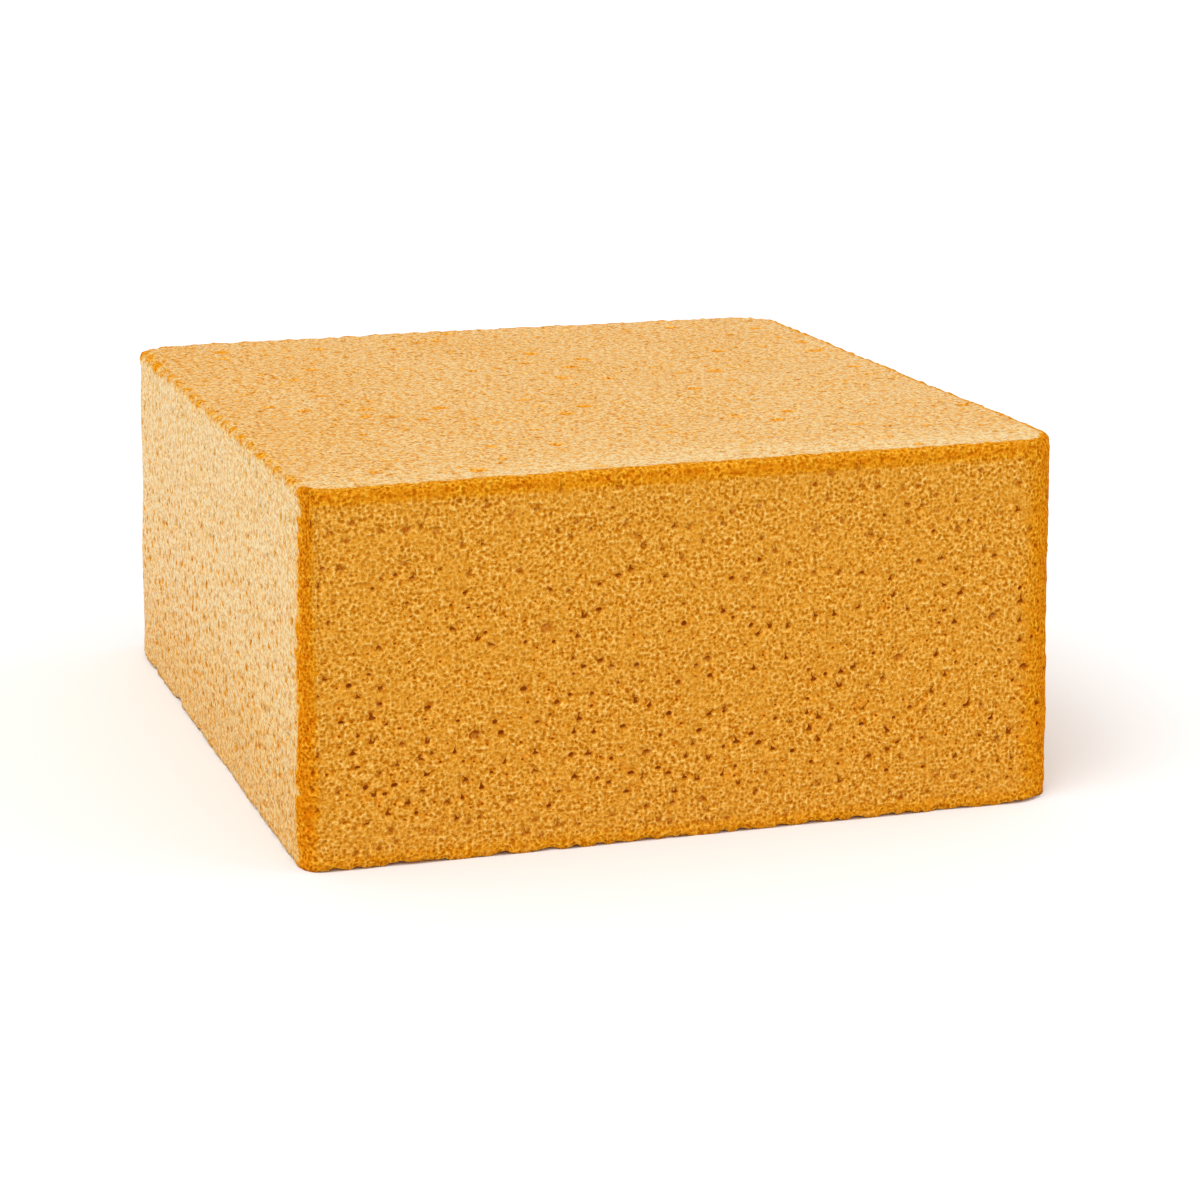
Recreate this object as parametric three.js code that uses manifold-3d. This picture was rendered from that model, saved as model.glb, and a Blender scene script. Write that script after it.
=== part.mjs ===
// Square white chocolate mud cake without icing, turned out so that its trimmed face is the base.
// Millimetres, +Z up, origin at the middle of the base. The front wall faces -Y.
import * as THREE from 'three';
import Module from 'manifold-3d';

// Driving dimensions
const BASE_SIDE = 203; // an eight inch tin
const MID_HEIGHT = 93; // at the middle of the top
const LEAN = 2.5; // how far each wall leans in from base to top
const ASKEW = 2; // how far to the left of the base the top stands
const SLOPE_X = 0.012; // the base was trimmed by hand, so the top rises this much for each mm along X
const SLOPE_Y = -0.015; // and this much for each mm along Y
const TOP_ROUND = 1.5; // radius of the crust's upper edge
const BASE_ROUND = 1.5; // how far the crumbly lower edge turns in
const UNEVENNESS = 0.45; // how far the walls and the top swell and dip
const SWELL_LENGTH = 38; // shortest distance from one swell to the next

// Plan radius of each upright edge, anticlockwise from the one where X and Y are both positive
const CORNER_RADII = [14, 15, 6, 14];
const LEAST_RADIUS = 0.6; // what is left of a corner where the edge turns in

// Open pores of the crumb
const WALL_PORES = 38; // on each of the four walls
const TOP_PORES = 36;
const PORE_RADIUS = [0.9, 1.9]; // smallest and largest
const PORE_DEPTH = 0.8; // as a share of the radius
const PORE_STRETCH = [0.75, 1.35]; // length over radius, from crosswise to lengthwise
const PORE_MARGIN = 9; // kept clear at the edges of each wall and of the top
const LOW_PORES = 1.35; // above 1, pores crowd towards the lower half of a wall
const FEW_LARGE = 3; // above 1, most pores and notches are near the smallest size

// Bites out of the lower edge where crumbs have come away
const WALL_NOTCHES = 11; // along each of the four walls
const NOTCH_WIDTH = [1.6, 4.2]; // half width, smallest and largest
const NOTCH_HEIGHT = [0.9, 2.0];
const NOTCH_DEPTH = 1.3;

// How finely the faces are divided
const ARC_STEPS = 5;
const RUN_STEPS = 12;
const WALL_STEPS = 8;
const ROUND_STEPS = 3;
const TOP_STEPS = 8;
const PORE_SIDES = 5;
const PORE_BANDS = 4;
const SWELLS = 6;

// How the pores are scattered
const SCATTER_CHOICES = 6; // draws from which each place is picked
const PORE_SEED = 1000; // start of the draws for the first wall, and the step from wall to wall
const SIZE_SEED = 40; // middle of the draws for sizes
const NOTCH_SEED = 90; // start of the draws for the first wall's notches, and the step from wall to wall
const DRAW_RATE = 12.9898; // two large, unrelated numbers that make each draw differ from the next
const DRAW_GAIN = 43758.5453;

const WALLS = CORNER_RADII.length;
const HALF_SIDE = BASE_SIDE / 2;
const QUARTER = Math.PI / 2;
const REACH = HALF_SIDE - PORE_MARGIN;
const PORE_SPAN = MID_HEIGHT - 2 * PORE_MARGIN;
const FACING_UP = new THREE.Vector3(0, 0, 1);

const wasm = await Module();
wasm.setup();

const mix = ([low, high], share) => low + (high - low) * share;

// A fraction from 0 to 1 that follows no pattern but is the same for the same number
function draw(number) {
  const value = Math.sin(number * DRAW_RATE) * DRAW_GAIN;
  return value - Math.floor(value);
}

// Irregular places over a rectangle: each is the draw that lies farthest from the places before it
function scatter(count, width, height, seed) {
  const places = [];
  for (let i = 0; i < count; i++) {
    const choices = Array.from({ length: SCATTER_CHOICES }, (_, choice) => {
      const number = seed + 2 * (i * SCATTER_CHOICES + choice);
      return new THREE.Vector2(width * draw(number), height * draw(number + 1));
    });
    const room = (choice) => Math.min(...places.map((place) => place.distanceTo(choice)));
    places.push(choices.reduce((best, choice) => (room(choice) > room(best) ? choice : best)));
  }
  return places;
}

// Height of the sloping top above a place in plan
function topHeight(x, y) {
  return MID_HEIGHT + SLOPE_X * x + SLOPE_Y * y;
}

// Broad swells and dips of the crust, as a sum of waves that run in different directions
function swell(point) {
  let sum = 0;
  for (let wave = 1; wave <= SWELLS; wave++) {
    const way = new THREE.Vector3(draw(wave), draw(wave + SWELLS), draw(wave + 2 * SWELLS));
    way.multiplyScalar(2).subScalar(1).multiplyScalar((2 * Math.PI) / SWELL_LENGTH);
    sum += Math.sin(way.dot(point) + wave);
  }
  return (UNEVENNESS * sum) / SWELLS;
}

// The cake's outline in plan, set in from the base, as places with the direction that faces out there
function outlineAt(inset) {
  const arcs = CORNER_RADII.map((baseRadius, corner) => {
    const signX = corner === 0 || corner === 3 ? 1 : -1;
    const signY = corner < 2 ? 1 : -1;
    const radius = Math.max(baseRadius - inset, LEAST_RADIUS);
    const centre = new THREE.Vector2(signX, signY).multiplyScalar(HALF_SIDE - inset - radius);
    return Array.from({ length: ARC_STEPS + 1 }, (_, step) => {
      const angle = (corner + step / ARC_STEPS) * QUARTER;
      const out = new THREE.Vector2(Math.cos(angle), Math.sin(angle));
      return { place: centre.clone().addScaledVector(out, radius), out };
    });
  });
  return arcs.flatMap((arc, corner) => {
    const runStart = arc[ARC_STEPS].place;
    const { place: runEnd, out } = arcs[(corner + 1) % WALLS][0];
    const run = Array.from({ length: RUN_STEPS - 1 }, (_, step) => {
      return { place: runStart.clone().lerp(runEnd, (step + 1) / RUN_STEPS), out };
    });
    return [...arc, ...run];
  });
}

// A point of the crust above a place in plan, moved out by the swell there
function crustPoint(plan, z, out, tilt) {
  const point = new THREE.Vector3(plan.x, plan.y, z);
  const facing = new THREE.Vector3(out.x * Math.cos(tilt), out.y * Math.cos(tilt), Math.sin(tilt));
  return point.addScaledVector(facing, swell(point));
}

// Rings of the wall, from just above the base to where the upper edge starts to turn
function wallRings() {
  return Array.from({ length: WALL_STEPS + 1 }, (_, step) => {
    const share = step / WALL_STEPS;
    return outlineAt(LEAN * share).map(({ place, out }) => {
      const z = mix([BASE_ROUND, topHeight(place.x, place.y) - TOP_ROUND], share);
      return crustPoint(place, z, out, 0);
    });
  });
}

// Rings of the rounded upper edge
function edgeRings() {
  return Array.from({ length: ROUND_STEPS }, (_, step) => {
    const tilt = ((step + 1) / ROUND_STEPS) * QUARTER;
    const drop = TOP_ROUND * (1 - Math.sin(tilt));
    return outlineAt(LEAN + TOP_ROUND * (1 - Math.cos(tilt))).map(({ place, out }) => {
      return crustPoint(place, topHeight(place.x, place.y) - drop, out, tilt);
    });
  });
}

// Rings of the top, shrinking towards its middle
function topRings() {
  return Array.from({ length: TOP_STEPS - 1 }, (_, step) => {
    const share = 1 - (step + 1) / TOP_STEPS;
    return outlineAt(LEAN + TOP_ROUND).map(({ place, out }) => {
      const plan = place.multiplyScalar(share);
      return crustPoint(plan, topHeight(plan.x, plan.y), out, QUARTER);
    });
  });
}

// A closed skin over a stack of rings, with a point that shuts each end
function skinOver(rings, below, above) {
  const count = rings[0].length;
  const points = [...rings.flat(), below, above];
  const belowIndex = points.length - 2;
  const aboveIndex = points.length - 1;
  const lastRing = (rings.length - 1) * count;
  const triangles = [];
  for (let i = 0; i < count; i++) {
    const next = (i + 1) % count;
    triangles.push(belowIndex, next, i, aboveIndex, lastRing + i, lastRing + next);
    for (let ring = 0; ring < rings.length - 1; ring++) {
      const low = ring * count;
      const high = low + count;
      triangles.push(low + i, low + next, high + next, low + i, high + next, high + i);
    }
  }
  return new THREE.BufferGeometry().setFromPoints(points).setIndex(triangles);
}

// The cake before its pores are opened
function wholeBody() {
  const baseRing = outlineAt(BASE_ROUND).map(({ place }) => new THREE.Vector3(place.x, place.y, 0));
  const rings = [baseRing, ...wallRings(), ...edgeRings(), ...topRings()];
  const middle = new THREE.Vector3(0, 0, MID_HEIGHT);
  middle.z += swell(middle);
  return skinOver(rings, new THREE.Vector3(), middle);
}

// A low-sided egg shape that cuts one pore or notch, with its own X along the crust and its Z facing out
function hollow(place, facing, along, halfSizes) {
  const across = new THREE.Vector3().crossVectors(facing, along);
  const turn = new THREE.Matrix4().makeBasis(along, across, facing).setPosition(place);
  const rings = [];
  for (let band = 1; band < PORE_BANDS; band++) {
    const fall = (band / PORE_BANDS) * Math.PI;
    rings.push(
      Array.from({ length: PORE_SIDES }, (_, side) => {
        const angle = ((side + band / 2) / PORE_SIDES) * 2 * Math.PI;
        const radius = Math.sin(fall);
        return new THREE.Vector3(radius * Math.cos(angle), radius * Math.sin(angle), -Math.cos(fall));
      }),
    );
  }
  const egg = skinOver(rings, new THREE.Vector3(0, 0, -1), new THREE.Vector3(0, 0, 1));
  return egg.scale(...halfSizes).applyMatrix4(turn);
}

// One pore at a place on the crust, turned about the direction that faces out
function pore(place, facing, number) {
  const radius = mix(PORE_RADIUS, draw(SIZE_SEED + number) ** FEW_LARGE);
  const level = facing === FACING_UP ? new THREE.Vector3(1, 0, 0) : FACING_UP;
  const along = new THREE.Vector3().crossVectors(level, facing).applyAxisAngle(facing, number);
  const stretch = mix(PORE_STRETCH, draw(SIZE_SEED - number));
  return hollow(place, facing, along, [radius * stretch, radius / stretch, radius * PORE_DEPTH]);
}

// The pores and base notches of one wall, which is turned about Z from the front by quarter turns
function wallHollows(quarterTurns) {
  const facing = new THREE.Vector3(0, -1, 0).applyAxisAngle(FACING_UP, quarterTurns * QUARTER);
  const along = new THREE.Vector3(1, 0, 0).applyAxisAngle(FACING_UP, quarterTurns * QUARTER);
  const wallPlace = (aside, share) => {
    const place = along.clone().multiplyScalar(aside).addScaledVector(facing, HALF_SIDE - LEAN * share);
    place.z = share * topHeight(place.x, place.y);
    return place.addScaledVector(facing, swell(place));
  };
  const seed = PORE_SEED * (quarterTurns + 1);
  const pores = scatter(WALL_PORES, 2 * REACH, PORE_SPAN, seed).map(({ x, y }, i) => {
    const share = (PORE_MARGIN + PORE_SPAN * (y / PORE_SPAN) ** LOW_PORES) / MID_HEIGHT;
    return pore(wallPlace(x - REACH, share), facing, quarterTurns * WALL_PORES + i);
  });
  const notches = Array.from({ length: WALL_NOTCHES }, (_, i) => {
    const number = NOTCH_SEED * (quarterTurns + 1) + i;
    const aside = mix([-REACH, REACH], (i + draw(number)) / WALL_NOTCHES);
    const width = mix(NOTCH_WIDTH, draw(-number) ** FEW_LARGE);
    const height = mix(NOTCH_HEIGHT, draw(2 * number));
    return hollow(wallPlace(aside, 0), facing, along, [width, height, NOTCH_DEPTH]);
  });
  return [...pores, ...notches];
}

// The pores of the top
function topPores() {
  const seed = PORE_SEED * (WALLS + 1);
  return scatter(TOP_PORES, 2 * REACH, 2 * REACH, seed).map(({ x, y }, i) => {
    const place = new THREE.Vector3(x - REACH, y - REACH, topHeight(x - REACH, y - REACH));
    place.z += swell(place);
    return pore(place, FACING_UP, WALLS * WALL_PORES + i);
  });
}

function toSolid(geometry) {
  const vertProperties = geometry.getAttribute('position').array;
  const triVerts = Uint32Array.from(geometry.getIndex().array);
  return new wasm.Manifold(new wasm.Mesh({ numProp: 3, vertProperties, triVerts }));
}

function toGeometry(solid) {
  const { vertProperties, triVerts } = solid.getMesh();
  const geometry = new THREE.BufferGeometry();
  geometry.setAttribute('position', new THREE.BufferAttribute(vertProperties, 3));
  geometry.setIndex(new THREE.BufferAttribute(triVerts, 1));
  geometry.computeVertexNormals();
  return geometry;
}

function cake() {
  const walls = Array.from({ length: WALLS }, (_, quarterTurns) => wallHollows(quarterTurns));
  const hollows = [...walls.flat(), ...topPores()];
  const opened = hollows.reduce((solid, shape) => solid.subtract(toSolid(shape)), toSolid(wholeBody()));
  const leftward = new THREE.Matrix4().makeShear(0, 0, 0, 0, -ASKEW / MID_HEIGHT, 0);
  const crust = new THREE.MeshStandardMaterial({ color: 0xdf9f45, roughness: 0.9, metalness: 0 });
  const mesh = new THREE.Mesh(toGeometry(opened).applyMatrix4(leftward), crust);
  mesh.name = 'cake';
  return mesh;
}

const mudCake = new THREE.Group();
mudCake.add(cake());

export default mudCake;
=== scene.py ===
# Square white chocolate mud cake without icing: one block of fine crumb with open pores,
# browned edges and a crumbly lower edge, standing on its trimmed base.
import math

import bpy
import numpy as np
from mathutils import Matrix, Vector, geometry, kdtree


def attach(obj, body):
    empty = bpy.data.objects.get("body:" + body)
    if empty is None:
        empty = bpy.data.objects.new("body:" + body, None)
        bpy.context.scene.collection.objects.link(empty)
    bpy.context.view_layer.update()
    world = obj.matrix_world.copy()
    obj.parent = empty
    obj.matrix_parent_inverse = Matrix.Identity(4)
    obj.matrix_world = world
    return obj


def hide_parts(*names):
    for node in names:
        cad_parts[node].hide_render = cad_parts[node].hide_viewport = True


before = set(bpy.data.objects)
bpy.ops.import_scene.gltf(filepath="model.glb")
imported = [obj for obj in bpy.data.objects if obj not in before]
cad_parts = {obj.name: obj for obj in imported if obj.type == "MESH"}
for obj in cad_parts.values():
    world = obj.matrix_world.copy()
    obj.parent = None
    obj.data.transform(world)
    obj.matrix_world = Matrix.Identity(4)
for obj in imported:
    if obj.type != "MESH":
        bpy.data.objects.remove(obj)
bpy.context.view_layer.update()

MM = 0.001  # the mesh is worked out in millimetres and written in metres

# The cake's form, in millimetres
BASE_SIDE = 203.0
MID_HEIGHT = 93.0
LEAN = 2.5  # how far each wall leans in from base to top
ASKEW = 2.0  # how far to the left of the base the top stands
SLOPE_X = 0.012  # rise of the top for each millimetre along X
SLOPE_Y = -0.015
TOP_ROUND = 1.5  # radius of the crust's upper edge
UNEVENNESS = 0.45  # how far the walls and the top swell and dip
SWELL_LENGTH = 38.0
SWELLS = 6
CORNER_RADII = np.array([14.0, 15.0, 6.0, 14.0])  # anticlockwise from where X and Y are both positive
CORNER_SIGNS = np.array([(1, 1), (-1, 1), (-1, -1), (1, -1)])
LEAST_RADIUS = 0.6
WALLS = len(CORNER_RADII)
HALF_SIDE = BASE_SIDE / 2
QUARTER = math.pi / 2

# The large pores, which the solid has too
WALL_PORES = 38
TOP_PORES = 36
PORE_RADIUS = (0.9, 1.9)
PORE_MARGIN = 9.0
LOW_PORES = 1.35
FEW_LARGE = 3
SCATTER_CHOICES = 6
PORE_SEED = 1000
FINE_SEED = 20000
SIZE_SEED = 40
DRAW_RATE = 12.9898
DRAW_GAIN = 43758.5453
REACH = HALF_SIDE - PORE_MARGIN
PORE_SPAN = MID_HEIGHT - 2 * PORE_MARGIN

# The finer pores and the shallow pits of the top
WALL_FINE_PORES = 3700
FINE_LOW = 1.4  # above 1, they crowd towards the foot of the walls
TOP_FINE_PORES = 600
FINE_PORE_RADIUS = (0.36, 1.0)
TOP_PITS = 300
TOP_PIT_RADIUS = (0.9, 2.8)
TOP_PIT_DEPTH = 0.35
PORE_STRETCH = (0.95, 1.3)  # width over height of a pore, as a square root
PORE_DEPTH = 1.0  # depth over radius
PORE_RISE = 0.2  # a pore of the wall is deepest this share of its radius above its middle
PORE_RAGGED = (0.92, 1.08)  # how unevenly a rim is drawn
PORE_RINGS = ((1.0, 0.0, 0.2), (0.62, 0.8, 0.9), (0.0, 1.0, 1.0))  # shares of the radius, depth and shade
SMALL_RINGS = ((1.0, 0.0, 0.25), (0.0, 1.0, 1.0))
SMALL_PORE = 0.56  # up to this radius, a pore has only a rim and a middle
RIM_STEP = 0.8  # distance from one point of a rim to the next
LEAST_RIM_POINTS = 6
PORE_GRAIN = 0.4  # share of the crumb's grain that a pore has
PORE_SHADES = (0.46, 1.0)  # how dark a pore is inside, as painted shade, as a strength
DARKEST_PORE = 0.74  # pores of a larger radius are less dark
UPPER_SHADE = 0.36  # near the top they are less dark by this factor
FOOT_SHADE = 0.4  # and at the foot by this one
FOOT_REACH = (3.0, 17.0)  # full up to the first height above the lower edge, gone from the second
LEFT_SHADE = 0.7  # on the left wall they are less dark by this factor
OVERHANG_SHADE = 3.0  # times PORE_RISE, how much darker the top of a wall pore's rim is than its sides, as painted shade under its overhang
TOP_PORE_SHADES = (0.2, 0.5)
PIT_SHADES = (0.05, 0.3)

# The crumb
GRAIN = 1.4  # spacing of the mesh points, close to the size of the crumb's grains
ROW_STEP = GRAIN * math.sqrt(3) / 2
JITTER = 0.28  # share of the spacing by which a point strays from its row
GRAIN_HEIGHT = 0.08
DIMPLE_SIZE = 4.5
DIMPLE_DEPTH = (0.02, 0.1)  # on the golden walls, and on the pale top and left wall
# Paleness: on the left wall it is painted light, as if lit more strongly; on the top it is partly a dry skin
# and partly painted light
LEFT_PALENESS = (0.6, 1.0)  # of the left wall's painted light at its foot, and from half its height up
LEFT_EDGE_PALENESS = 0.45  # as a share, on the rounded edge above that wall
LEFT_END = 6  # the larger, the sooner the left wall's painted light ends round its corners
TOP_PALENESS = (0.44, 0.66)  # of the top's paleness, part dry skin and part painted light, at the back left and at the front right
FRONT_STRIP = (5.0, 26.0)  # painted light along the top's front edge: full up to the first distance from it, none from the second
FRONT_PALENESS = 0.32
MOTTLE_SIZE = 15.0
MOTTLE = 0.1

# The edges
EDGE_CRUMB_SIZE = 1.9
EDGE_CRUMB_HEIGHT = 0.3
EDGE_CRUMB_REACH = 1.6  # how far from the upper edge they go
EDGE_CRUMB_STRAY = 0.3  # share of their height by which single points stray
UPRIGHT_CRUMB_HEIGHT = 0.5
UPRIGHT_CRUMB_REACH = 4.5
LUMP_LENGTH = 9.5  # from one lump of the upper left edge to the next
LUMP_SHIFT = 2.8  # how unevenly they follow each other
LUMP_HEIGHT = 0.55
LUMP_RANGE = (0.25, 1.15)  # some are smaller than others, as shares of that height
BASE_UNDERCUT = 2.8  # how far the crumbly lower edge turns in
BASE_LIFT = 0.4  # and how far up it starts
TOOTH_SIZE = 2.2
TOOTH_HEIGHT = 1.05
TOOTH_REACH = 3.0  # how far up the wall the teeth show
TOOTH_STRAY = 0.4  # share of their height by which single points stray
TOOTH_OUT = 0.35  # how far they stand out from the wall
NOTCH_SIZE = 5.5
NOTCH_SHARE = 0.45  # noise above this makes a notch
NOTCH_DEPTH = 1.0
LEAST_LIFT = 0.05  # of the ragged edge above the resting face

# Browning, as a strength from 0 to 1
UPPER_BROWN = (0.0, 4.2)  # full down to the first distance below the upper edge, none below the second
EDGE_BROWN = 0.45  # on the rounded upper edge itself
RIM_REACH = 1.6  # how far its browning reaches in on the top
LEFT_EDGE_BROWN = 0.2
LUMP_BROWN = 0.5  # how much more or less the lumps of the left edge are browned
UPRIGHT_BROWN = 0.3  # full up to this distance from the brownest line of an upright edge
UPRIGHT_REACH = np.array([15.0, 15.0, 4.2, 15.0])  # and none from these distances
SPREAD = np.array([1.0, 1.0, 1.9, 1.0])  # how much farther the browning reaches clockwise
UPRIGHT_STRENGTH = np.array([0.8, 0.35, 1.0, 0.86])
UPRIGHT_STRAY = 1.4  # crumbs that stand out are browned this much farther from the edge
LOWER_BROWN = (1.0, 6.0)
LOWER_STRENGTH = 0.46

# How the surface is laid out flat: two strips of wall, with the top and the base beside each other
FLAT_LAYOUT = "OFBake"
SHEET_GAP = 4.0
STRIP_HEIGHT = MID_HEIGHT + 3 * SHEET_GAP
SHEET = 2 * STRIP_HEIGHT + BASE_SIDE + 2 * SHEET_GAP

# Camera, worked out from the photo's edges
PHOTO_AZIMUTH = -20.07
PHOTO_ELEVATION = 15.49
PHOTO_ROLL = 1.45
CAMERA_DISTANCE = 828.4 * MM
CAMERA_AIM = Vector((6.93, -5.89, 34.68)) * MM
CAMERA_LENS = 90.1

# The finest relief and the markings of the crumb, in millimetres
HOLLOW_SIZE = 1.0
HOLLOW_SCATTER = 0.8  # 0 would set the hollows out in rows
GRAIN_SIZE = 0.8
CLUMP_SIZE = 1.2
FLECK_SIZE = 1.8
BLOTCH_SIZE = 3.2
PATCH_SIZE = 9.0
HOLLOW_PART = 0.3  # how much the hollows, grains and clumps each add to the finest relief
GRAIN_PART = 0.75
CLUMP_PART = 0.4
FINE_RELIEF = 0.9
PALE_SMOOTH = 0.5  # how much of that relief the palest parts, dry skin and painted light, take away
PORE_SMOOTH = 0.5  # and how much an open pore does

# Colours as they look on screen, from 0 to 255, and tints as factors of red, green and blue
CRUMB_TONES = (  # from the bottom of the finest relief to its top: painted shade low down and painted highlight on top, over the crumb's own spread of colour
    (0.49, (182, 102, 8)),
    (0.61, (204, 133, 30)),
    (0.73, (220, 153, 52)),
    (0.85, (233, 173, 78)),
    (1.0, (248, 198, 110)),
)
CALM_TONE = (218, 149, 44)  # of patches where the crumb has less contrast
CALM_SHARE = 0.35
SKIN_AND_LIGHT_TONE = (227, 211, 152)
SKIN_AND_LIGHT_COVER = 0.53
# The pit tone is painted shade inside the pores
PIT_TONE = (144, 60, 1)
PIT_COVER = 0.85
# The rim tint is warm painted shade round each pore's rim
PORE_RIM_TINT = (1.0, 0.82, 0.4, 1.0)
PORE_RIM_COVER = 0.6
GOLDEN_TINT = (1.0, 0.86, 0.25, 1.0)
BROWN_TINT = (0.93, 0.78, 0.55, 1.0)
FLOOR_TONE = (0.85, 0.85, 0.85, 1.0)

# Where each marking begins and where it is full, as values of what it follows
CALM_RANGE = (0.42, 0.7)
PORE_RIM_SHADE_RANGE = (0.04, 0.2)  # of the warm painted shade round a pore's rim
PIT_RANGE = (0.25, 0.5)
GOLDEN_RANGE = (0.06, 0.55)
BROWN_RANGE = (0.55, 0.95)
CLOSED_RANGE = (0.1, 0.45)  # of the pale skin and painted light between the hollows
SKIN_AND_LIGHT_RANGE = (0.05, 0.4)
FLECK_RANGE = (0.35, 0.64)
HAZE_RANGE = (0.15, 0.65)  # of the dull gloss, seen at a slant, on the pale skin and painted light
PORE_RIM_SHADE_STRAY = (0.15, 0.1)  # how far grains and blotches shift the edge of that painted shade
PIT_STRAY = 0.12
CLOSED_STRAY = 0.6
BROWN_LEAST = 0.4  # browning is multiplied by this and, where blotches are strongest, by more
BROWN_GAIN = 1.2
HOLLOW_SKIN_AND_LIGHT = 0.55  # share of the pale skin and painted light that is left in hollows, so that they stay darker
FLECK_PART = 0.75  # flecks follow their own noise by this share, and blotches for the rest
FLECK_CONTRAST = 0.5
HAZE_LEAST = 0.5  # gloss between the flecks

# Light: strength of the white surroundings, then name, strength, spread and direction of each lamp
SURROUNDINGS = 0.85
LAMPS = (
    ("key", 1.6, 45, (0.5, 0.32, -0.8)),
    ("rim", 0.65, 60, (-0.9, 0.2, -0.4)),
)
FLOOR_HALF = 12.0  # half the floor's side, in metres

# Starting numbers of everything random
RANDOM_SEED = 2273
DIMPLE_SEED = 23.0
CRUMB_SEED = 31.0
TOOTH_SEED = 41.0
NOTCH_SEED = 47.0
LUMP_SHIFT_SEED = 53.0
LUMP_RANGE_SEED = 59.0
MOTTLE_SEED = 61.0
CELL_STEPS = (1.0, 57.0, 113.0)  # how far the drawn numbers move on from cell to cell along X, Y and Z

rng = np.random.default_rng(RANDOM_SEED)


def mix(bounds, share):
    """The value that lies a share of the way from one bound to the other."""
    return bounds[0] + (bounds[1] - bounds[0]) * share


def draw(number):
    """A fraction from 0 to 1 that follows no pattern but is the same for the same number."""
    value = np.sin(number * DRAW_RATE) * DRAW_GAIN
    return value - np.floor(value)


def rough(points, size, seed):
    """Smooth random relief from -1 to 1, with bumps of about the given size."""
    cells = points / size
    corner = np.floor(cells)
    share = cells - corner
    ease = share * share * (3 - 2 * share)
    total = np.zeros(len(points))
    for step in np.ndindex(2, 2, 2):
        weight = np.prod(np.where(step, ease, 1 - ease), axis=1)
        total += weight * draw((corner + step) @ CELL_STEPS + seed)
    return 2 * total - 1


def fade(distance, near, far):
    """1 up to the nearer distance, falling smoothly to 0 at the farther one."""
    share = np.clip((far - distance) / (far - near), 0, 1)
    return share * share * (3 - 2 * share)


def top_height(x, y):
    return MID_HEIGHT + SLOPE_X * x + SLOPE_Y * y


def swell(points):
    """The same broad swells and dips as the solid's."""
    total = np.zeros(len(points))
    for wave in range(1, SWELLS + 1):
        way = np.array([draw(wave), draw(wave + SWELLS), draw(wave + 2 * SWELLS)])
        total += np.sin(points @ ((2 * way - 1) * 2 * math.pi / SWELL_LENGTH) + wave)
    return UNEVENNESS * total / SWELLS


# The outline in plan: an arc and a straight run for each corner in turn
ARC_LENGTHS = CORNER_RADII * QUARTER
RUN_LENGTHS = BASE_SIDE - CORNER_RADII - np.roll(CORNER_RADII, -1)
STRETCHES = np.stack([ARC_LENGTHS, RUN_LENGTHS], axis=1).ravel()
STRETCH_STARTS = np.concatenate([[0.0], np.cumsum(STRETCHES)])
PERIMETER = STRETCH_STARTS[-1]
ARC_MIDDLES = STRETCH_STARTS[:-1:2] + ARC_LENGTHS / 2
SHEET_START = ARC_MIDDLES[1]  # the wall is laid out from the middle of the back left edge
STRIP_CUT = ARC_MIDDLES[3] - ARC_MIDDLES[1]  # and in two strips, the left and front walls in the first


def outline(along, inset):
    """Places in plan and the directions that face out there, at distances along the base outline."""
    along = along % PERIMETER
    stretch = np.searchsorted(STRETCH_STARTS, along, side="right") - 1
    share = (along - STRETCH_STARTS[stretch]) / STRETCHES[stretch]
    corner = stretch // 2
    on_run = stretch % 2 == 1
    angle = (corner + np.where(on_run, 1, share)) * QUARTER
    out = np.stack([np.cos(angle), np.sin(angle)], axis=1)

    def arc_place(at):
        radius = np.maximum(CORNER_RADII[at] - inset, LEAST_RADIUS)
        return CORNER_SIGNS[at] * (HALF_SIDE - inset - radius)[:, None] + out * radius[:, None]

    here = arc_place(corner)
    ahead = arc_place((corner + 1) % WALLS)
    return here + (ahead - here) * np.where(on_run, share, 0)[:, None], out


def inside_by(plan, inset):
    """How far places in plan lie inside the outline that is set in by that much."""
    corner = np.where(plan[:, 1] >= 0, np.where(plan[:, 0] >= 0, 0, 1), np.where(plan[:, 0] < 0, 2, 3))
    radius = np.maximum(CORNER_RADII[corner] - inset, LEAST_RADIUS)
    beyond = np.abs(plan) - (HALF_SIDE - inset - radius)[:, None]
    corner_gap = np.linalg.norm(np.maximum(beyond, 0), axis=1)
    return radius - corner_gap - np.minimum(beyond.max(axis=1), 0)


# The wall's flat sheet: a strip that turns in below the lower edge, the wall and its rounded upper edge
FOOT = math.hypot(BASE_UNDERCUT, BASE_LIFT)
WALL_TOP = FOOT + MID_HEIGHT - BASE_LIFT - TOP_ROUND
WALL_HEIGHT = WALL_TOP + TOP_ROUND * QUARTER
COLUMNS = round(PERIMETER / GRAIN)
SEAM_ROWS = round(WALL_HEIGHT / GRAIN)
WITHIN_BORDER = 1  # the kind of triangulation that fills a border
LEAST_GAP = 1e-7  # places closer than this would count as one


def on_wall(along, up):
    """Points of the wall for places on its flat sheet, with the directions that face out."""
    below = np.clip(1 - up / FOOT, 0, 1)
    share = np.clip((up - FOOT) / (WALL_TOP - FOOT), 0, 1)
    tilt = np.clip((up - WALL_TOP) / TOP_ROUND, 0, QUARTER)
    inset = BASE_UNDERCUT * below + LEAN * share + TOP_ROUND * (1 - np.cos(tilt))
    plan, out = outline(along + SHEET_START, inset)
    wall_top = top_height(*plan.T) - TOP_ROUND
    z = mix((BASE_LIFT * (1 - below), wall_top), share) + TOP_ROUND * np.sin(tilt)
    return np.column_stack([plan, z]), np.column_stack([out * np.cos(tilt)[:, None], np.sin(tilt)])


def facing_left(along):
    """1 on the left wall, falling to 0 round its corners, at distances along the wall's sheet."""
    _, out = outline(along + SHEET_START, np.zeros(len(along)))
    return np.maximum(-out[:, 0], 0) ** LEFT_END


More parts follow.
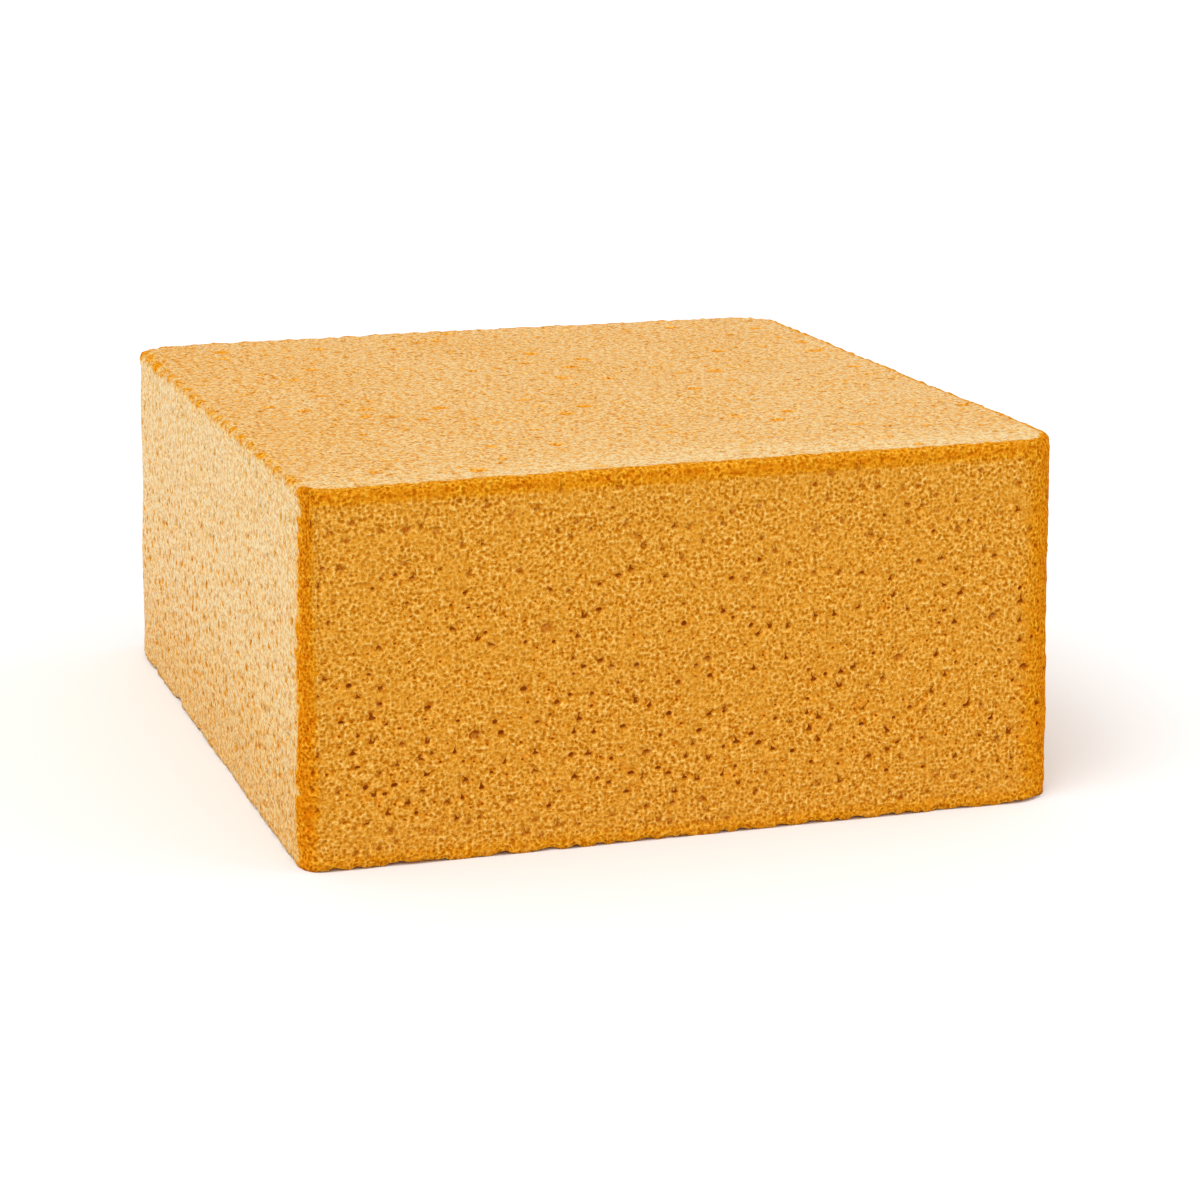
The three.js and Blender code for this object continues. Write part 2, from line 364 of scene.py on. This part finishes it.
def scatter(count, width, height, seed):
    """Irregular places over a rectangle, as the solid's pores have them."""
    places = np.empty((0, 2))
    for i in range(count):
        numbers = seed + 2 * (i * SCATTER_CHOICES + np.arange(SCATTER_CHOICES))
        choices = np.column_stack([width * draw(numbers), height * draw(numbers + 1)])
        gaps = np.linalg.norm(choices[:, None] - places[None], axis=2)
        best = gaps.min(axis=1).argmax() if i else 0
        places = np.vstack([places, choices[best]])
    return places


def large_radii(first, count):
    """Radii of the solid's pores, counted from the first of them."""
    return mix(PORE_RADIUS, draw(SIZE_SEED + first + np.arange(count)) ** FEW_LARGE)


def wall_pores():
    """Places on the wall's sheet, radii, depths and shades of its pores, the solid's ones first."""
    large = []
    for turn in range(WALLS):
        run = (turn + 2) % WALLS  # the front comes first, and it is the outline's third run
        start = STRETCH_STARTS[2 * run + 1] - CORNER_RADII[run] + PORE_MARGIN - SHEET_START
        aside, up = scatter(WALL_PORES, 2 * REACH, PORE_SPAN, PORE_SEED * (turn + 1)).T
        up = PORE_MARGIN + PORE_SPAN * (up / PORE_SPAN) ** LOW_PORES
        large.append(np.column_stack([(start + aside) % PERIMETER, FOOT - BASE_LIFT + up]))
    aside, up = scatter(WALL_FINE_PORES, PERIMETER, WALL_TOP - FOOT, FINE_SEED).T
    up = FOOT + (WALL_TOP - FOOT) * (up / (WALL_TOP - FOOT)) ** FINE_LOW
    fine = np.column_stack([aside, up])
    places = np.concatenate([*large, fine])
    fine_radii = mix(FINE_PORE_RADIUS, rng.random(WALL_FINE_PORES) ** 2)
    radii = np.concatenate([large_radii(0, WALLS * WALL_PORES), fine_radii])
    room = np.minimum(places - (0, FOOT), (PERIMETER, WALL_TOP) - places).min(axis=1)
    shades = rng.uniform(*PORE_SHADES, len(radii)) * np.minimum(DARKEST_PORE / radii, 1)
    shades *= mix((UPPER_SHADE, 1), fade(places[:, 1], WALL_TOP / 2, WALL_TOP))
    shades *= mix((1, FOOT_SHADE), fade(places[:, 1] - FOOT, *FOOT_REACH))
    shades *= mix((1, LEFT_SHADE), facing_left(places[:, 0]))
    pores = np.column_stack([places, radii, PORE_DEPTH * radii, shades])
    return pores[room > PORE_STRETCH[1] * radii + GRAIN]


def top_pores():
    """The same for the top: the solid's pores, then shallow pits and finer pores."""
    counts = (TOP_PORES, TOP_PITS, TOP_FINE_PORES)
    large = scatter(TOP_PORES, 2 * REACH, 2 * REACH, PORE_SEED * (WALLS + 1)) - REACH
    places = np.concatenate([large, rng.uniform(-HALF_SIDE, HALF_SIDE, (TOP_PITS + TOP_FINE_PORES, 2))])
    pit_radii = mix(TOP_PIT_RADIUS, rng.random(TOP_PITS) ** 2)
    fine_radii = mix(FINE_PORE_RADIUS, rng.random(TOP_FINE_PORES) ** 2)
    radii = np.concatenate([large_radii(WALLS * WALL_PORES, TOP_PORES), pit_radii, fine_radii])
    depths = np.where(np.repeat([False, True, False], counts), TOP_PIT_DEPTH, PORE_DEPTH * radii)
    shade_bounds = np.repeat([TOP_PORE_SHADES, PIT_SHADES, TOP_PORE_SHADES], counts, axis=0)
    shades = mix(shade_bounds.T, rng.random(len(radii)))
    pores = np.column_stack([places, radii, depths, shades])
    return pores[inside_by(places, LEAN + TOP_ROUND) > PORE_STRETCH[1] * radii + GRAIN]


def tree_of(places):
    """A search tree over places on a sheet."""
    tree = kdtree.KDTree(len(places))
    for index, (x, y) in enumerate(places.tolist()):
        tree.insert((x, y, 0), index)
    tree.balance()
    return tree


def with_room(pores):
    """The pores that leave room to each one before them."""
    tree = tree_of(pores[:, :2])
    radii = PORE_STRETCH[1] * pores[:, 2] + GRAIN / 4
    kept = np.zeros(len(pores), bool)
    for number, (x, y) in enumerate(pores[:, :2].tolist()):
        near = tree.find_range((x, y, 0), radii[number] + radii.max())
        kept[number] = not any(kept[other] and gap < radii[number] + radii[other] for _, other, gap in near)
    return pores[kept]


def uneven_grid(width, height, first_line=0.0):
    """Uneven places that cover a rectangle, about a grain apart."""
    lines = np.arange(first_line, height, ROW_STEP)
    steps = np.arange(0, width, GRAIN)
    x, y = (grid.ravel() for grid in np.meshgrid(steps, lines))
    odd = np.repeat(np.arange(len(lines)) % 2, len(steps))
    places = np.column_stack([x + odd * GRAIN / 2, y])
    return places + rng.uniform(-JITTER, JITTER, places.shape) * GRAIN


def triangles(places, border_count):
    """Triangles between places on a sheet whose first ones are its border, as indices."""
    edges = [(i, (i + 1) % border_count) for i in range(border_count)]
    vectors = [Vector(place) for place in places.tolist()]
    _, _, found, origins, _, _ = geometry.delaunay_2d_cdt(vectors, edges, [], WITHIN_BORDER, LEAST_GAP)
    source = np.array([numbers[0] for numbers in origins])
    faces = source[np.array(found)]
    corner = places[faces]
    first, second = corner[:, 1] - corner[:, 0], corner[:, 2] - corner[:, 0]
    turned = first[:, 0] * second[:, 1] < first[:, 1] * second[:, 0]
    faces[turned] = faces[turned][:, ::-1]
    return faces


class Sheet:
    """A face laid flat: places of its border, of rings round its pores and in between, with triangles."""

    def __init__(self, border, fill, pores, rise):
        self.parts = []
        self.add(border, 0.0, 0.0, 1.0)
        tree = tree_of(fill)
        clear = np.ones(len(fill), bool)
        for x, y, radius, depth, shade in with_room(pores):
            self.add_pore(x, y, radius, depth, shade, rise)
            covered = tree.find_range((x, y, 0), PORE_STRETCH[1] * radius + GRAIN / 2)
            clear[[index for _, index, _ in covered]] = False
        self.add(fill[clear], 0.0, 0.0, 1.0)
        joined = (np.concatenate(part) for part in zip(*self.parts))
        self.places, self.sunk, self.shade, self.grainy = joined
        self.faces = triangles(self.places, len(border))

    def add(self, places, sunk, shade, grainy):
        """Adds places with their depth, how much shade is painted in a pore there and how much of the grain
        they have.
        """
        self.parts.append((places, *(np.full(len(places), value) for value in (sunk, shade, grainy))))

    def add_pore(self, x, y, radius, depth, shade, rise):
        """Adds a pore's rings, from its rim to its middle."""
        stretch = mix(PORE_STRETCH, rng.random())
        count = max(LEAST_RIM_POINTS, round(2 * math.pi * radius / RIM_STEP))
        for share, sunk, dark in PORE_RINGS if radius > SMALL_PORE else SMALL_RINGS:
            number = count if share else 1
            angle = 2 * math.pi * (np.arange(number) + rng.random()) / number
            reach = share * radius * rng.uniform(*PORE_RAGGED, number)
            aside = x + stretch * reach * np.cos(angle)
            up = y + rise * radius * sunk + reach / stretch * np.sin(angle)
            # Painted shade: the upper part of a wall pore's rim is darker, as if overhung and lit from above
            overhang = 1 + OVERHANG_SHADE * rise * share * np.sin(angle)
            self.add(np.column_stack([aside, up]), sunk * depth, dark * shade * overhang, PORE_GRAIN)


def wall_sheet():
    """The walls as one band, whose border runs along its foot, up its end, back along its top and down."""
    across = np.arange(COLUMNS) * PERIMETER / COLUMNS
    upward = np.arange(SEAM_ROWS) * WALL_HEIGHT / SEAM_ROWS
    sides = (
        (across, 0 * across),
        (PERIMETER + 0 * upward, upward),
        (PERIMETER - across, WALL_HEIGHT + 0 * across),
        (0 * upward, WALL_HEIGHT - upward),
    )
    border = np.concatenate([np.column_stack(side) for side in sides])
    fill = uneven_grid(PERIMETER, WALL_HEIGHT, FOOT % ROW_STEP)
    fill[np.abs(fill[:, 1] - FOOT) < ROW_STEP / 2, 1] = FOOT
    inside = np.minimum(fill, (PERIMETER, WALL_HEIGHT) - fill).min(axis=1) > GRAIN / 2
    return Sheet(border, fill[inside], wall_pores(), PORE_RISE)


def top_sheet(rim):
    fill = uneven_grid(BASE_SIDE, BASE_SIDE) - HALF_SIDE
    return Sheet(rim, fill[inside_by(fill, LEAN + TOP_ROUND) > GRAIN / 2], top_pores(), 0.0)


def seam_joins(count):
    """For each place on the wall's sheet, the one that it is joined to, as the band's ends meet."""
    joined = np.arange(count)
    left = 2 * COLUMNS + SEAM_ROWS  # the band's first end, numbered downwards
    joined[COLUMNS] = 0
    joined[COLUMNS + 1:COLUMNS + SEAM_ROWS] = left + np.arange(SEAM_ROWS - 1, 0, -1)
    joined[COLUMNS + SEAM_ROWS] = left
    return joined


class Crumb:
    """The cake's surface as points, the directions that they face and the triangles between them."""

    def __init__(self):
        wall = wall_sheet()
        self.along, self.up = wall.places.T
        points, facing = on_wall(self.along, self.up)
        joined = seam_joins(len(points))
        rim = joined[COLUMNS + SEAM_ROWS + (COLUMNS - np.arange(COLUMNS)) % COLUMNS]
        top = top_sheet(points[rim, :2])
        inner = top.places[COLUMNS:]
        base_middle = len(points) + len(inner)
        self.points = np.concatenate([points, np.column_stack([inner, top_height(*inner.T)]), [[0, 0, 0]]])
        self.facing = np.concatenate([facing, np.tile([0.0, 0, 1], (len(inner), 1)), [[0, 0, -1]]])
        pairs = ((wall.sunk, top.sunk), (wall.shade, top.shade), (wall.grainy, top.grainy))
        self.sunk, self.pore, self.grainy = (np.concatenate([w, t[COLUMNS:], [0]]) for w, t in pairs)
        column = np.arange(COLUMNS)
        top_numbers = np.concatenate([rim, len(points) + np.arange(len(inner))])
        base_faces = np.column_stack([np.full(COLUMNS, base_middle), (column + 1) % COLUMNS, column])
        self.face_groups = (joined[wall.faces], top_numbers[top.faces], base_faces)
        self.flat_wall = wall.places[wall.faces]
        self.fixed = np.zeros(len(self.points), bool)
        self.fixed[:COLUMNS] = True
        self.fixed[base_middle] = True
        self.left_wall = facing_left(self.along)
        self.pale = np.concatenate([self.wall_paleness(), self.top_paleness(inner), [0]])
        self.from_rim = inside_by(inner, LEAN + TOP_ROUND)
        self.on_left = fade(self.points[:, 0] + HALF_SIDE - LEAN, TOP_ROUND, 3 * TOP_ROUND)
        # Distances from the middle of each upright edge, negative on its clockwise side
        ahead = self.along[:, None] + SHEET_START - ARC_MIDDLES + PERIMETER / 2
        self.apart = ahead % PERIMETER - PERIMETER / 2

    def wall_paleness(self):
        """How pale the walls are painted: only the left wall is, and there the paleness is painted light."""
        pale = self.left_wall * mix(LEFT_PALENESS, 1 - fade(self.up, 0, WALL_TOP / 2))
        return pale * np.where(self.up > WALL_TOP, LEFT_EDGE_PALENESS, 1)

    def top_paleness(self, plan):
        """How pale the top is at places in plan, partly dry skin and partly painted light: paler to the
        front right and along the front edge.
        """
        pale = mix(TOP_PALENESS, 0.5 + (plan[:, 0] - plan[:, 1]) / (4 * HALF_SIDE))
        pale += FRONT_PALENESS * fade(plan[:, 1] + HALF_SIDE - LEAN, *FRONT_STRIP)
        return pale + MOTTLE * rough(self.points[len(self.up):-1], MOTTLE_SIZE, MOTTLE_SEED)

    def averaged(self, values):
        """The mean of the values at each point and the points round it."""
        faces = np.concatenate(self.face_groups)
        total = np.bincount(faces.ravel(), np.repeat(values[faces].mean(axis=1), 3), len(values))
        return total / np.maximum(np.bincount(faces.ravel(), minlength=len(values)), 1)

    def roughen(self):
        """Adds the crust's swell and dimples, the crumb's grain, the pores and the ragged edges."""
        grain = rng.uniform(-1, 1, len(self.points))
        grain = GRAIN_HEIGHT * (grain - self.averaged(grain)) * self.grainy
        dimples = rough(self.points, DIMPLE_SIZE, DIMPLE_SEED) * mix(DIMPLE_DEPTH, self.pale)
        uneven = LUMP_SHIFT * rough(self.points, LUMP_LENGTH, LUMP_SHIFT_SEED)
        lumps = np.sin(2 * math.pi * self.points[:, 1] / LUMP_LENGTH + uneven)
        sizes = 0.5 + rough(self.points, 2 * LUMP_LENGTH, LUMP_RANGE_SEED) / 2
        self.lumps = lumps * mix(LUMP_RANGE, sizes)
        height = swell(self.points) + dimples + grain - self.sunk + self.edge_crumbs()
        height[self.fixed] = 0
        self.points += self.facing * height[:, None]
        self.rag_base()
        self.points[:, 0] -= ASKEW * self.points[:, 2] / MID_HEIGHT

    def edge_crumbs(self):
        """Small crumbs that stand out along the upper and upright edges, and lumps on the upper left one."""
        edge_gap = np.concatenate([np.maximum(WALL_TOP - self.up, 0), self.from_rim, [BASE_SIDE]])
        near = np.exp(-((edge_gap / EDGE_CRUMB_REACH) ** 2))
        self.crumbs = rough(self.points, EDGE_CRUMB_SIZE, CRUMB_SEED)
        self.crumbs += EDGE_CRUMB_STRAY * rng.uniform(-1, 1, len(self.points))
        upright = np.zeros(len(self.points))
        upright[:len(self.up)] = np.exp(-((self.apart / UPRIGHT_CRUMB_REACH) ** 2)).max(axis=1)
        lumps = near * LUMP_HEIGHT * self.on_left * self.lumps
        return np.maximum(near * EDGE_CRUMB_HEIGHT, upright * UPRIGHT_CRUMB_HEIGHT) * self.crumbs + lumps

    def brown(self):
        """Browns the upper edge, the upright edges and the foot of the walls, but hardly the left wall."""
        facing = self.facing[:len(self.up)]
        leftward = -facing[:, 0] > np.abs(facing[:, 1])
        edge = np.where(leftward, LEFT_EDGE_BROWN + LUMP_BROWN * self.lumps[:len(self.up)], EDGE_BROWN)
        upper = fade(WALL_TOP - self.up, *UPPER_BROWN) * (1 - self.left_wall)
        upper = np.where(self.up > WALL_TOP, edge, upper)
        apart = np.where(self.apart < 0, -self.apart / SPREAD, self.apart)
        apart -= UPRIGHT_STRAY * self.crumbs[:len(self.up), None]
        upright = (UPRIGHT_STRENGTH * fade(apart, UPRIGHT_BROWN, UPRIGHT_REACH)).max(axis=1)
        lower = LOWER_STRENGTH * fade(self.up - FOOT, *LOWER_BROWN) * (1 - self.left_wall)
        browned = np.maximum(np.maximum(upper, upright), lower)
        rim = mix((EDGE_BROWN, LEFT_EDGE_BROWN), self.on_left[len(self.up):-1])
        rim *= fade(self.from_rim, 0, RIM_REACH)
        self.browning = np.concatenate([browned, rim, [0]])

    def rag_base(self):
        """Breaks the lower edge into teeth and notches, above a flat resting face."""
        low = np.flatnonzero((self.up > 0) & (self.up < FOOT + TOOTH_REACH))
        up = self.up[low]
        foot = self.points[low] * (1, 1, 0)
        reached = np.where(up < FOOT, up / FOOT, fade(up - FOOT, 0, TOOTH_REACH))
        teeth = rough(foot, TOOTH_SIZE, TOOTH_SEED) + TOOTH_STRAY * rng.uniform(-1, 1, len(low))
        notch = np.maximum(rough(foot, NOTCH_SIZE, NOTCH_SEED) - NOTCH_SHARE, 0) / (1 - NOTCH_SHARE)
        outward = reached * (TOOTH_OUT * teeth - NOTCH_DEPTH * notch)
        self.points[low, :2] += self.facing[low, :2] * outward[:, None]
        self.points[low, 2] += reached * (TOOTH_HEIGHT * teeth + NOTCH_DEPTH * notch)
        self.points[low, 2] = np.maximum(self.points[low, 2], LEAST_LIFT)

    def laid_flat(self):
        """Places of the triangles' corners on one square, as shares of its side."""
        _, top_faces, base_faces = self.face_groups
        second = self.flat_wall[:, :, 0].mean(axis=1)[:, None, None] >= STRIP_CUT
        wall = self.flat_wall + np.where(second, (-STRIP_CUT, STRIP_HEIGHT), 0)
        plan = self.points[:, :2] + (HALF_SIDE, HALF_SIDE + 2 * STRIP_HEIGHT)
        base = plan[base_faces] + (BASE_SIDE + SHEET_GAP, 0)
        return (np.concatenate([wall, plan[top_faces], base]) + SHEET_GAP) / SHEET


def cake_mesh():
    crumb = Crumb()
    crumb.roughen()
    crumb.brown()
    used, faces = np.unique(np.concatenate(crumb.face_groups), return_inverse=True)
    mesh = bpy.data.meshes.new("cake_crumb")
    mesh.from_pydata((crumb.points[used] * MM).tolist(), [], faces.reshape(-1, 3).tolist())
    mesh.shade_smooth()
    # pore holds the shade painted in pores, pale the painted light and dry skin, browning the browned crust
    for name in ("pore", "browning", "pale"):
        attribute = mesh.attributes.new(name, "FLOAT", "POINT")
        attribute.data.foreach_set("value", getattr(crumb, name)[used].astype(np.float32))
    layer = mesh.uv_layers.new(name=FLAT_LAYOUT)
    layer.uv.foreach_set("vector", crumb.laid_flat().astype(np.float32).ravel())
    return mesh


class Value:
    """A shader socket that is added, subtracted and multiplied like a number."""

    def __init__(self, recipe, socket):
        self.recipe, self.socket = recipe, socket

    def math(self, operation, first, second):
        return self.recipe.node("ShaderNodeMath", {"operation": operation}, {0: first, 1: second})

    def __add__(self, other):
        return self.math("ADD", self, other)

    def __radd__(self, other):
        return self.math("ADD", other, self)

    def __sub__(self, other):
        return self.math("SUBTRACT", self, other)

    def __rsub__(self, other):
        return self.math("SUBTRACT", other, self)

    def __mul__(self, other):
        return self.math("MULTIPLY", self, other)

    def __rmul__(self, other):
        return self.math("MULTIPLY", other, self)


class Recipe:
    """A material whose look is mixed from nodes."""

    def __init__(self, name):
        self.material = bpy.data.materials.new(name)
        self.material.use_nodes = True
        self.tree = self.material.node_tree
        self.surface = self.tree.nodes["Principled BSDF"]

    def node(self, kind, settings, inputs, output=0):
        """Adds a node, sets it up, fills its sockets and gives one of its outputs."""
        made = self.tree.nodes.new(kind)
        for name, setting in settings.items():
            if name == "stops":
                self.set_stops(made.color_ramp, setting)
            else:
                setattr(made, name, setting)
        for name, value in inputs.items():
            self.fill(made.inputs[name], value)
        return Value(self, made.outputs[output])

    def set_stops(self, ramp, stops):
        while len(ramp.elements) < len(stops):
            ramp.elements.new(1.0)
        for element, (place, shade) in zip(ramp.elements, stops):
            element.position, element.color = place, shade

    def fill(self, socket, value):
        if isinstance(value, Value):
            self.tree.links.new(value.socket, socket)
        else:
            socket.default_value = value

    def finish(self, **sockets):
        for name, value in sockets.items():
            self.fill(self.surface.inputs[name.replace("_", " ")], value)
        return self.material

    def attribute(self, name):
        return self.node("ShaderNodeAttribute", {"attribute_name": name}, {}, "Fac")

    def place(self):
        """Where a point lies on the laid out surface."""
        return self.node("ShaderNodeUVMap", {"uv_map": FLAT_LAYOUT}, {}, "UV")

    def noise(self, size, detail=1.0):
        """Random relief over the laid out surface, with bumps of about the given size."""
        inputs = {"Vector": self.place(), "Scale": SHEET / size, "Detail": detail}
        return self.node("ShaderNodeTexNoise", {"noise_dimensions": "2D"}, inputs, "Fac")

    def hollows(self, size):
        """Distance from the middle of the nearest of many small hollows, which lie about a size apart."""
        inputs = {"Vector": self.place(), "Scale": SHEET / size, "Randomness": HOLLOW_SCATTER}
        return self.node("ShaderNodeTexVoronoi", {"voronoi_dimensions": "2D"}, inputs, "Distance")

    def between(self, value, low, high):
        """0 where the value is at low and 1 where it is at high, with soft ends."""
        settings = {"interpolation_type": "SMOOTHSTEP", "clamp": True}
        inputs = {"Value": value, "From Min": low, "From Max": high, "To Min": 0.0, "To Max": 1.0}
        return self.node("ShaderNodeMapRange", settings, inputs)

    def blend(self, share, first, second, kind="MIX"):
        """Mixes two colours. Sockets are numbered, because a Mix node has several of the same name."""
        settings = {"data_type": "RGBA", "blend_type": kind}
        return self.node("ShaderNodeMix", settings, {0: share, 6: first, 7: second}, 2)

    def tint(self, share, first, second):
        return self.blend(share, first, second, "MULTIPLY")


def colour(red, green, blue):
    """A colour given as it looks on screen, from 0 to 255."""
    return tuple(linear(part / 255) for part in (red, green, blue)) + (1.0,)


def linear(part):
    """The amount of light for a part of a colour on screen."""
    return part / 12.92 if part <= 0.04045 else ((part + 0.055) / 1.055) ** 2.4


def baked_crumb():
    """Golden baked crumb: fine hollows with painted shade, brown pores with painted shade inside and round
    their rims, browned edges, and a pale cover that is partly dry skin and partly painted light.
    """
    recipe = Recipe("baked_crumb")
    pale = recipe.attribute("pale")
    pore = recipe.attribute("pore")
    hollows = recipe.hollows(HOLLOW_SIZE)
    grains = recipe.noise(GRAIN_SIZE)
    clumps = recipe.noise(CLUMP_SIZE, detail=0.0)
    patches = recipe.noise(PATCH_SIZE)
    blotches = recipe.noise(BLOTCH_SIZE, detail=2.0)
    flecks = recipe.noise(FLECK_SIZE)
    stray = grains - 0.5
    height = hollows * HOLLOW_PART + grains * GRAIN_PART + clumps * CLUMP_PART
    calm = recipe.between(patches, *CALM_RANGE)
    pore_rim_shade = recipe.between(pore + stray * PORE_RIM_SHADE_STRAY[0] + (blotches - 0.5) * PORE_RIM_SHADE_STRAY[1], *PORE_RIM_SHADE_RANGE)
    pit = recipe.between(pore + stray * PIT_STRAY, *PIT_RANGE)
    browning = recipe.attribute("browning") * (blotches * BROWN_GAIN + BROWN_LEAST)
    golden = recipe.between(browning, *GOLDEN_RANGE)
    browned = recipe.between(browning, *BROWN_RANGE)
    closed = recipe.between(hollows + stray * CLOSED_STRAY, *CLOSED_RANGE)
    # The pale cover: painted light on the left wall and the top, partly a dry skin on the top, held back in
    # hollows and at pore rims
    skin_and_painted_light = recipe.between(pale, *SKIN_AND_LIGHT_RANGE) * (1 - golden) * (1 - pore_rim_shade)
    skin_and_painted_light = skin_and_painted_light * (closed * (1 - HOLLOW_SKIN_AND_LIGHT) + HOLLOW_SKIN_AND_LIGHT)
    flecked = recipe.between(flecks * FLECK_PART + blotches * (1 - FLECK_PART), *FLECK_RANGE)
    stops = [(place, colour(*tone)) for place, tone in CRUMB_TONES]
    # Painted shade and highlight: the tone follows the fine relief, darker in its hollows and lighter on its
    # tops
    tone = recipe.node("ShaderNodeValToRGB", {"stops": stops}, {"Fac": height}, "Color")
    tone = recipe.blend(calm * CALM_SHARE, tone, colour(*CALM_TONE))
    # Painted light: the crumb blends towards the pale tone by this cover
    cover = skin_and_painted_light * (pale * SKIN_AND_LIGHT_COVER + (flecked - 0.5) * FLECK_CONTRAST)
    tone = recipe.blend(cover, tone, colour(*SKIN_AND_LIGHT_TONE))
    # Warm painted shade round each pore's rim
    tone = recipe.tint(pore_rim_shade * PORE_RIM_COVER, tone, PORE_RIM_TINT)
    tone = recipe.tint(golden, tone, GOLDEN_TINT)
    tone = recipe.tint(browned, tone, BROWN_TINT)
    # Painted shade inside the pores
    tone = recipe.blend(pit * PIT_COVER, tone, colour(*PIT_TONE))
    facing_away = recipe.node("ShaderNodeLayerWeight", {}, {"Blend": 0.5}, "Facing")
    haze = recipe.between(facing_away, *HAZE_RANGE) * skin_and_painted_light * pale
    haze = haze * (flecked * (1 - HAZE_LEAST) + HAZE_LEAST)
    relief = height * (1 - pale * PALE_SMOOTH) * (1 - pore_rim_shade * PORE_SMOOTH)
    bump_inputs = {"Strength": 1.0, "Distance": FINE_RELIEF * MM, "Height": relief}
    bump = recipe.node("ShaderNodeBump", {}, bump_inputs, "Normal")
    return recipe.finish(
        Base_Color=tone,
        Roughness=0.6,
        Specular_IOR_Level=0.0,
        Normal=bump,
        Coat_Weight=haze,
        Coat_Roughness=0.3,
        Coat_IOR=1.3,
    )


def white_floor():
    recipe = Recipe("white_floor")
    return recipe.finish(Base_Color=FLOOR_TONE, Roughness=0.8, Specular_IOR_Level=0.0)


def add_cake():
    cake = bpy.data.objects.new("cake_crumb", cake_mesh())
    bpy.context.scene.collection.objects.link(cake)
    cake.data.materials.append(baked_crumb())
    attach(cake, "root")
    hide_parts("cake")


def add_floor():
    mesh = bpy.data.meshes.new("floor")
    corners = [(x * FLOOR_HALF, y * FLOOR_HALF, 0) for x, y in ((-1, -1), (1, -1), (1, 1), (-1, 1))]
    mesh.from_pydata(corners, [], [(0, 1, 2, 3)])
    floor = bpy.data.objects.new("floor", mesh)
    bpy.context.scene.collection.objects.link(floor)
    floor.data.materials.append(white_floor())


def add_light():
    """Even white surroundings, one broad soft light from the upper left and a weak one from the right."""
    world = bpy.data.worlds.new("studio")
    world.use_nodes = True
    surroundings = world.node_tree.nodes["Background"]
    surroundings.inputs["Color"].default_value = (1, 1, 1, 1)
    surroundings.inputs["Strength"].default_value = SURROUNDINGS
    bpy.context.scene.world = world
    for lamp in LAMPS:
        add_lamp(*lamp)


def add_lamp(name, strength, spread, direction):
    """A lamp that shines in a direction, with its light spread over so many degrees."""
    data = bpy.data.lights.new(name, "SUN")
    data.energy = strength
    data.angle = math.radians(spread)
    lamp = bpy.data.objects.new(name, data)
    lamp.rotation_euler = Vector(direction).to_track_quat("-Z", "Y").to_euler()
    bpy.context.scene.collection.objects.link(lamp)


def add_camera():
    azimuth, elevation, roll = (math.radians(a) for a in (PHOTO_AZIMUTH, PHOTO_ELEVATION, PHOTO_ROLL))
    flat = Vector((math.sin(azimuth), -math.cos(azimuth), 0))
    back = flat * math.cos(elevation) + Vector((0, 0, math.sin(elevation)))
    level = Vector((0, 0, 1)).cross(back).normalized()
    right = level * math.cos(roll) + back.cross(level) * math.sin(roll)
    data = bpy.data.cameras.new("camera")
    data.lens = CAMERA_LENS
    camera = bpy.data.objects.new("camera", data)
    turn = Matrix((right, back.cross(right), back)).transposed().to_4x4()
    camera.matrix_world = Matrix.Translation(CAMERA_AIM + back * CAMERA_DISTANCE) @ turn
    bpy.context.scene.collection.objects.link(camera)
    bpy.context.scene.camera = camera


add_cake()
add_floor()
add_light()
add_camera()
bpy.context.scene.view_settings.view_transform = "Standard"
